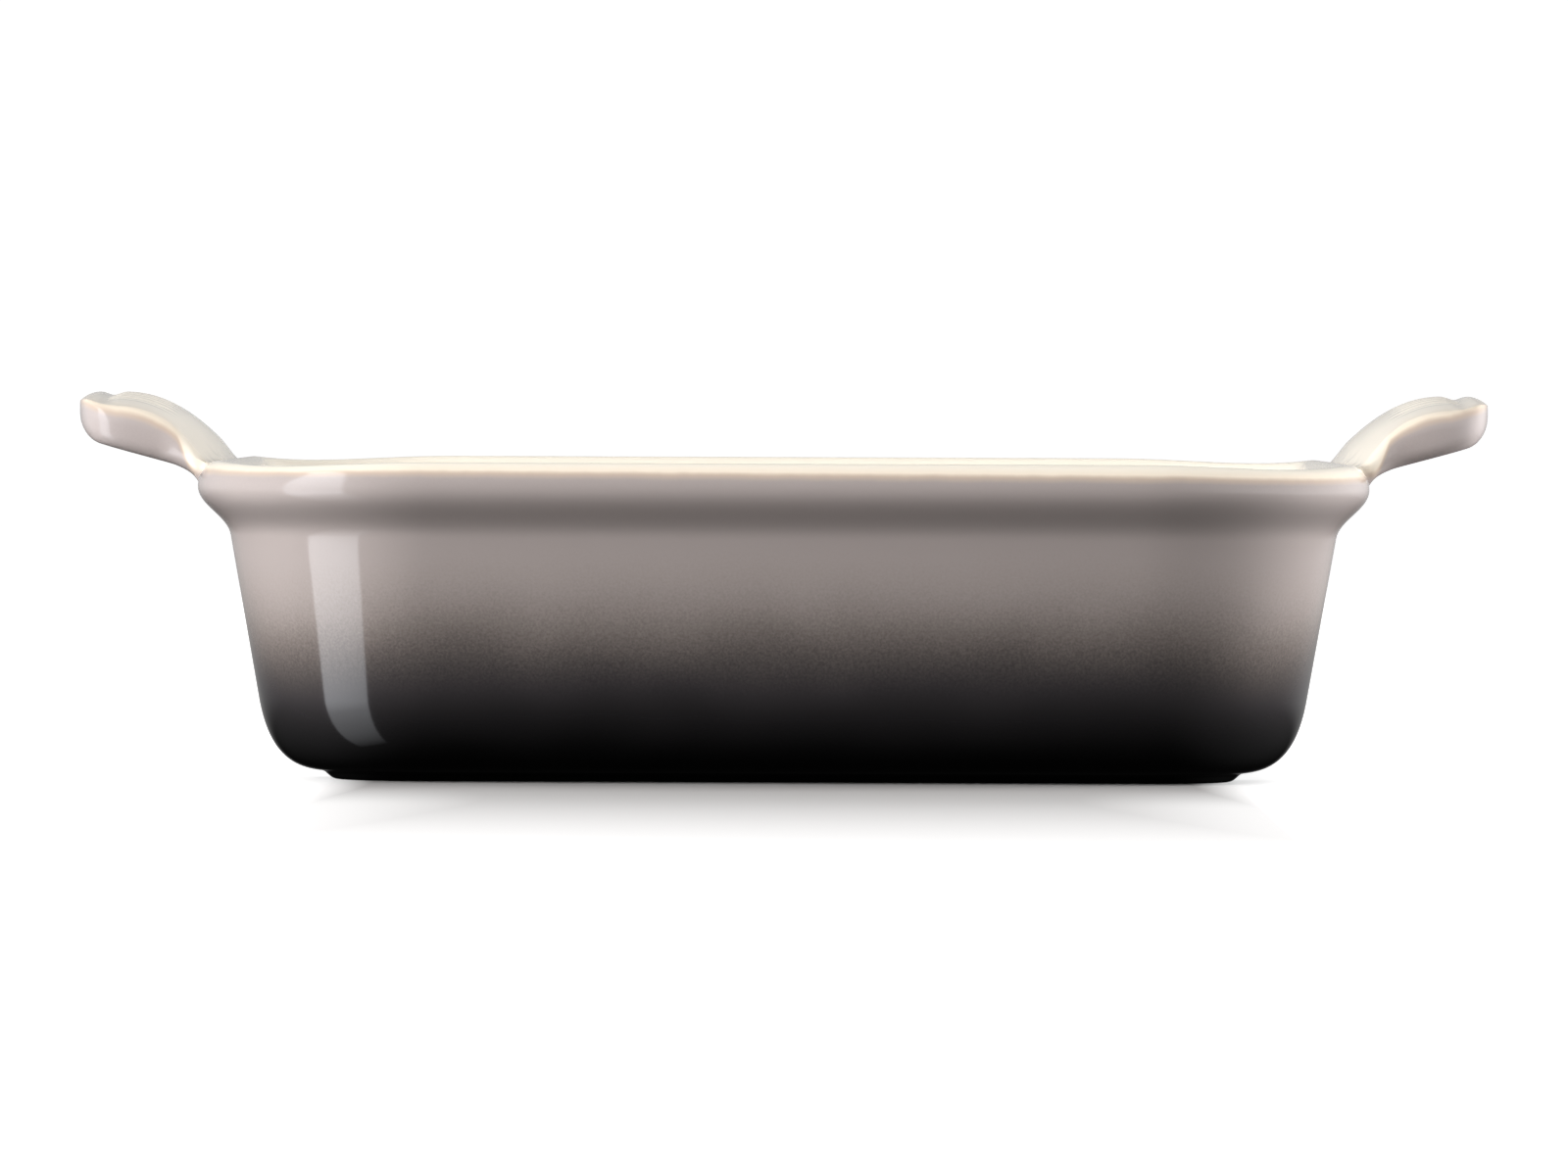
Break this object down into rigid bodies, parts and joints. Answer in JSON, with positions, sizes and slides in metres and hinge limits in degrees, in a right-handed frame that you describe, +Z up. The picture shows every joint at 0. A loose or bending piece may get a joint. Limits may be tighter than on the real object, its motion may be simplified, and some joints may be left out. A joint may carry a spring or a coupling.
{
  "type": "square baking dish",
  "caption": "Square oven dish in glazed stoneware with drafted walls, a rolled rim, a low foot ring and a broad tab handle at each side, for baking and serving.",
  "frame": {"origin": "middle of the face that the dish stands on", "axes": "+X towards the right handle, -Y towards the front, +Z up"},
  "size_m": [0.2954, 0.24, 0.079],
  "materials": {
    "glaze": "gloss",
    "bare_clay": "matte"
  },
  "bodies": {
    "root": {"basin": "glaze", "foot_ring": "bare_clay", "left_handle": "glaze", "right_handle": "glaze"}
  },
  "joints": []
}
